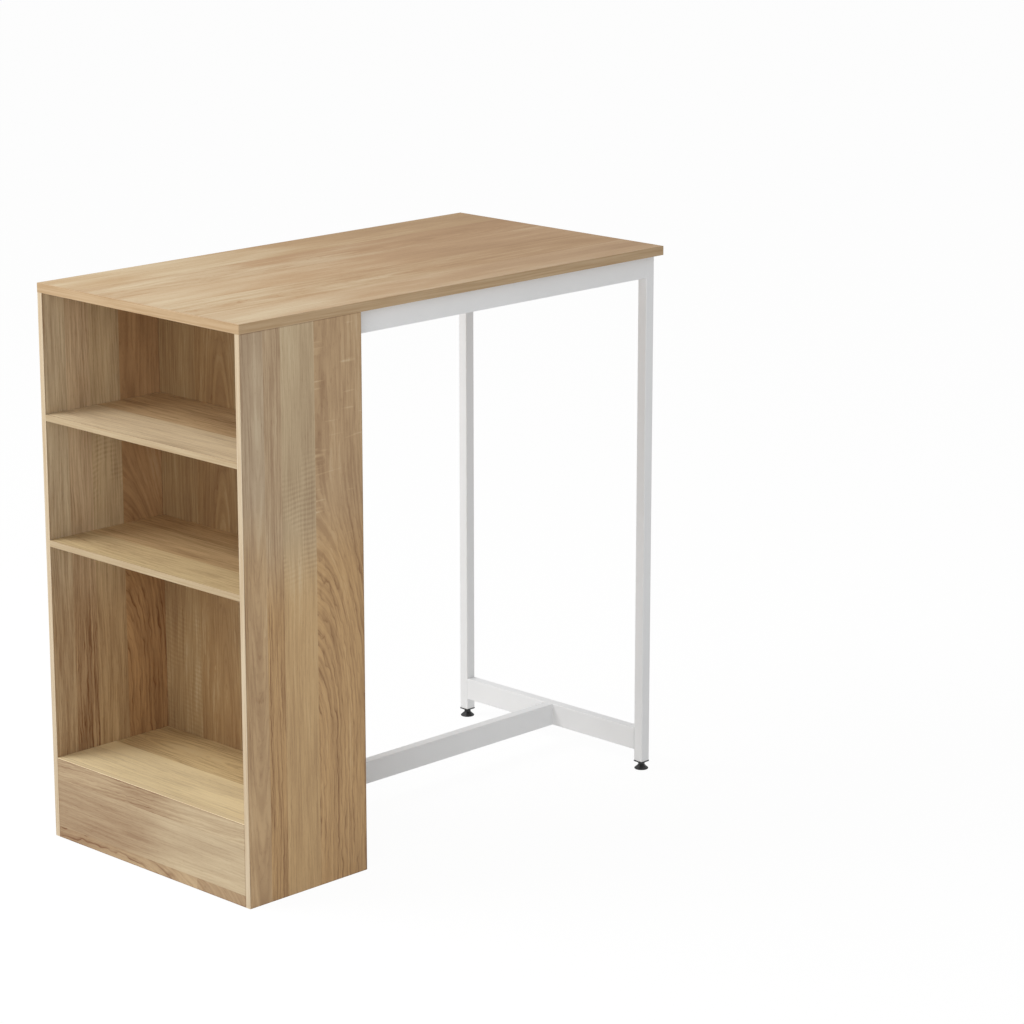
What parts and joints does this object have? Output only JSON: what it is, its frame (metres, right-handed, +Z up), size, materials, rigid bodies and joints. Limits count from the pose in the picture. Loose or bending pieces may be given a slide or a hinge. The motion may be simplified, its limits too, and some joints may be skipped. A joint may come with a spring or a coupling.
{
  "type": "bar table with shelves",
  "caption": "Bar-height table: an oak-effect top on an open shelf cabinet at one end and a white steel leg frame with a T-shaped foot stretcher and levelling feet at the other.",
  "frame": {"origin": "on the floor, under the middle of the table top", "axes": "+X along the top from the shelf cabinet to the legs, +Y from front to rear, +Z up"},
  "size_m": [1.09, 0.56, 1.07],
  "materials": {
    "oak_foil_board": "sonoma oak melamine foil on particle board",
    "oak_edge_band": "oak-effect edge banding",
    "white_powder_coat": "satin white powder coat on steel tube",
    "zinc_steel": "bright zinc plate",
    "black_zinc_steel": "black passivated zinc plate on steel",
    "zinc_die_cast": "die-cast zinc",
    "oak_cover_cap": "oak-coloured cover cap",
    "white_cap_plastic": "moulded white plastic",
    "beech": "fluted beech dowel",
    "black_plastic": "moulded black plastic"
  },
  "bodies": {
    "table": {"tabletop": "oak_foil_board", "front_side_panel": "oak_foil_board", "rear_side_panel": "oak_foil_board", "back_panel": "oak_foil_board", "upper_shelf": "oak_foil_board", "middle_shelf": "oak_foil_board", "bottom_shelf": "oak_foil_board", "plinth_board": "oak_foil_board", "tabletop_edge_bands": "oak_edge_band", "side_panel_edge_bands": "oak_edge_band", "shelf_edge_bands": "oak_edge_band", "plinth_edge_band": "oak_edge_band", "front_leg": "white_powder_coat", "rear_leg": "white_powder_coat", "upper_cross_rail": "white_powder_coat", "lower_cross_rail": "white_powder_coat", "front_top_rail": "white_powder_coat", "rear_top_rail": "white_powder_coat", "foot_stretcher": "white_powder_coat", "rail_end_plates": "white_powder_coat", "top_fixing_tabs": "white_powder_coat", "cabinet_frame_bolts": "zinc_steel", "cabinet_bolt_washers": "zinc_steel", "leg_frame_bolts": "zinc_steel", "top_fixing_screws": "zinc_steel", "cam_bolts": "zinc_steel", "front_insert_bush": "zinc_steel", "rear_insert_bush": "zinc_steel", "cam_locks": "zinc_die_cast", "cam_covers": "oak_cover_cap", "bolt_hole_caps": "white_cap_plastic", "wood_dowels": "beech", "front_leg_insert": "black_plastic", "rear_leg_insert": "black_plastic"},
    "front_foot_pad": {"front_foot_pad": "black_plastic"},
    "front_foot_stud": {"front_foot_stud": "black_zinc_steel"},
    "rear_foot_pad": {"rear_foot_pad": "black_plastic"},
    "rear_foot_stud": {"rear_foot_stud": "black_zinc_steel"}
  },
  "joints": [
    {"name": "front_foot_height", "type": "slide", "parent": "table", "child": "front_foot_pad", "axis": [0, 0, -1], "range_m": [-0.00251, 0.00751]},
    {"name": "front_foot_turn", "type": "hinge", "parent": "front_foot_pad", "child": "front_foot_stud", "pos_m": [0.53, -0.249, 0], "axis": [0, 0, -1], "range_deg": [-720, 2160]},
    {"name": "rear_foot_height", "type": "slide", "parent": "table", "child": "rear_foot_pad", "axis": [0, 0, -1], "range_m": [-0.00251, 0.00751]},
    {"name": "rear_foot_turn", "type": "hinge", "parent": "rear_foot_pad", "child": "rear_foot_stud", "pos_m": [0.53, 0.249, 0], "axis": [0, 0, -1], "range_deg": [-720, 2160]}
  ],
  "couplings": [
    {"joint": "front_foot_height", "follows": "front_foot_turn", "m_per_rad": 0.00019894},
    {"joint": "rear_foot_height", "follows": "rear_foot_turn", "m_per_rad": 0.00019894}
  ]
}
